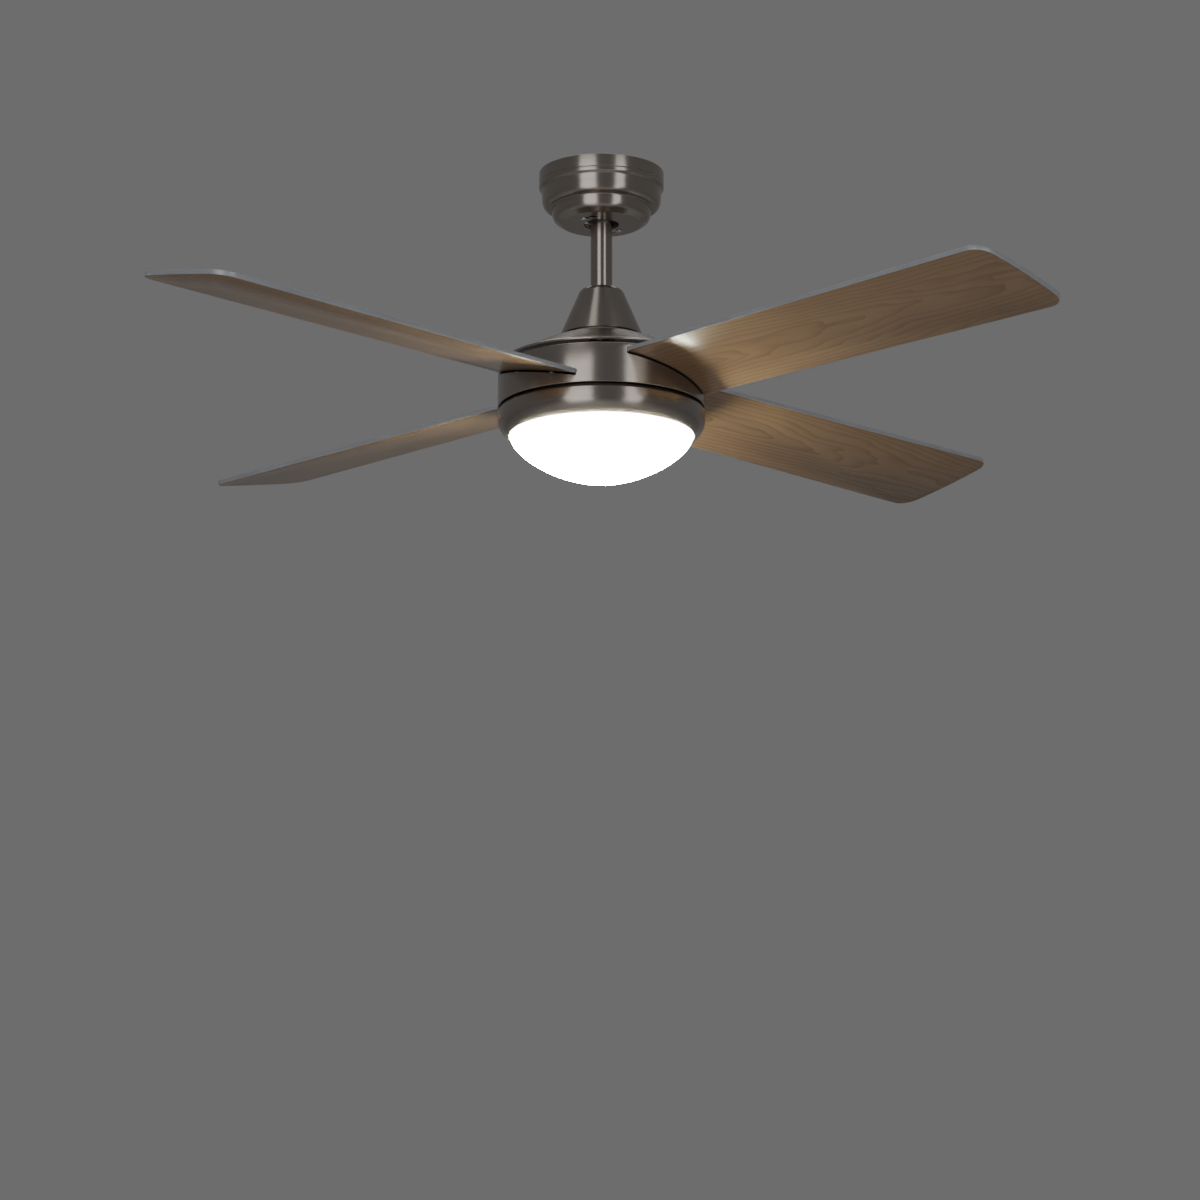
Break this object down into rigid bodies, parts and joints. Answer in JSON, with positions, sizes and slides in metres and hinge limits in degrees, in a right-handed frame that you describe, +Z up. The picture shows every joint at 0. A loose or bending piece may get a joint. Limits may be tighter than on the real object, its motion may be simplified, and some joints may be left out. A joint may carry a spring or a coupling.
{
  "type": "ceiling fan with light",
  "caption": "Downrod ceiling fan with pitched wooden blades in a slotted drum, a stepped canopy and a light bowl under the motor.",
  "frame": {"origin": "on the fan's axis at the ceiling, in the middle of the hanger bracket's top face", "axes": "+Z straight up along the fan's axis; the blades point along the diagonals between X and Y; the room is towards -Z"},
  "size_m": [1.02, 1.02, 0.3933],
  "materials": {
    "brushed_nickel": "brushed satin nickel, brushed round the turned pieces",
    "zinc_steel": "bright zinc plate",
    "cast_aluminium": "as cast",
    "electrical_steel": "laminated steel, oxide surface",
    "copper_winding": "enamelled copper wire",
    "black_plastic": "fine moulded grain",
    "white_plastic": "satin",
    "led_board": "white solder mask",
    "maple_blade": "light maple laminate below, silver above and on the edges",
    "opal_glass": "opal white, lit from inside"
  },
  "bodies": {
    "ceiling_bracket": {"hanger_bracket": "zinc_steel", "receiver_box": "black_plastic", "terminal_block": "white_plastic", "canopy_screw_1": "zinc_steel", "canopy_screw_2": "zinc_steel"},
    "canopy": {"canopy": "brushed_nickel"},
    "hanging_frame": {"hanger_ball": "black_plastic", "hanger_pin": "zinc_steel", "ball_set_screw": "zinc_steel", "downrod": "brushed_nickel", "rod_coupling": "cast_aluminium", "coupling_screw_1": "zinc_steel", "coupling_screw_2": "zinc_steel", "clevis_pin": "zinc_steel", "cotter_pin": "zinc_steel", "coupling_cover": "brushed_nickel", "upper_housing": "brushed_nickel", "motor_shaft": "zinc_steel", "shaft_nut": "zinc_steel", "stator_core": "electrical_steel", "winding_upper": "copper_winding", "winding_lower": "copper_winding", "light_pan": "cast_aluminium", "light_ring": "brushed_nickel", "led_board": "led_board", "led_driver": "white_plastic"},
    "rotor": {"motor_shell_upper": "cast_aluminium", "motor_shell_lower": "cast_aluminium", "rotor_ring": "electrical_steel", "drum": "brushed_nickel", "bearing_upper": "zinc_steel", "bearing_lower": "zinc_steel", "blade_1": "maple_blade", "blade_holder_1": "zinc_steel", "blade_screw_1a": "zinc_steel", "blade_screw_1b": "zinc_steel", "holder_screw_1a": "zinc_steel", "holder_screw_1b": "zinc_steel", "blade_2": "maple_blade", "blade_holder_2": "zinc_steel", "blade_screw_2a": "zinc_steel", "blade_screw_2b": "zinc_steel", "holder_screw_2a": "zinc_steel", "holder_screw_2b": "zinc_steel", "blade_3": "maple_blade", "blade_holder_3": "zinc_steel", "blade_screw_3a": "zinc_steel", "blade_screw_3b": "zinc_steel", "holder_screw_3a": "zinc_steel", "holder_screw_3b": "zinc_steel", "blade_4": "maple_blade", "blade_holder_4": "zinc_steel", "blade_screw_4a": "zinc_steel", "blade_screw_4b": "zinc_steel", "holder_screw_4a": "zinc_steel", "holder_screw_4b": "zinc_steel"},
    "diffuser": {"diffuser": "opal_glass"}
  },
  "joints": [
    {"name": "canopy_twist", "type": "hinge", "parent": "ceiling_bracket", "child": "canopy", "pos_m": [0, 0, -0.03], "axis": [0, 0, 1], "range_deg": [-24, 0]},
    {"name": "hang_swing", "type": "hinge", "parent": "ceiling_bracket", "child": "hanging_frame", "pos_m": [0, 0, -0.0447], "axis": [0, 1, 0], "range_deg": [-10, 10]},
    {"name": "rotor_spin", "type": "hinge", "parent": "hanging_frame", "child": "rotor", "pos_m": [0, 0, -0.262], "axis": [0, 0, 1], "continuous": true},
    {"name": "diffuser_twist", "type": "hinge", "parent": "hanging_frame", "child": "diffuser", "pos_m": [0, 0, -0.324], "axis": [0, 0, 1], "range_deg": [-24, 0]}
  ]
}
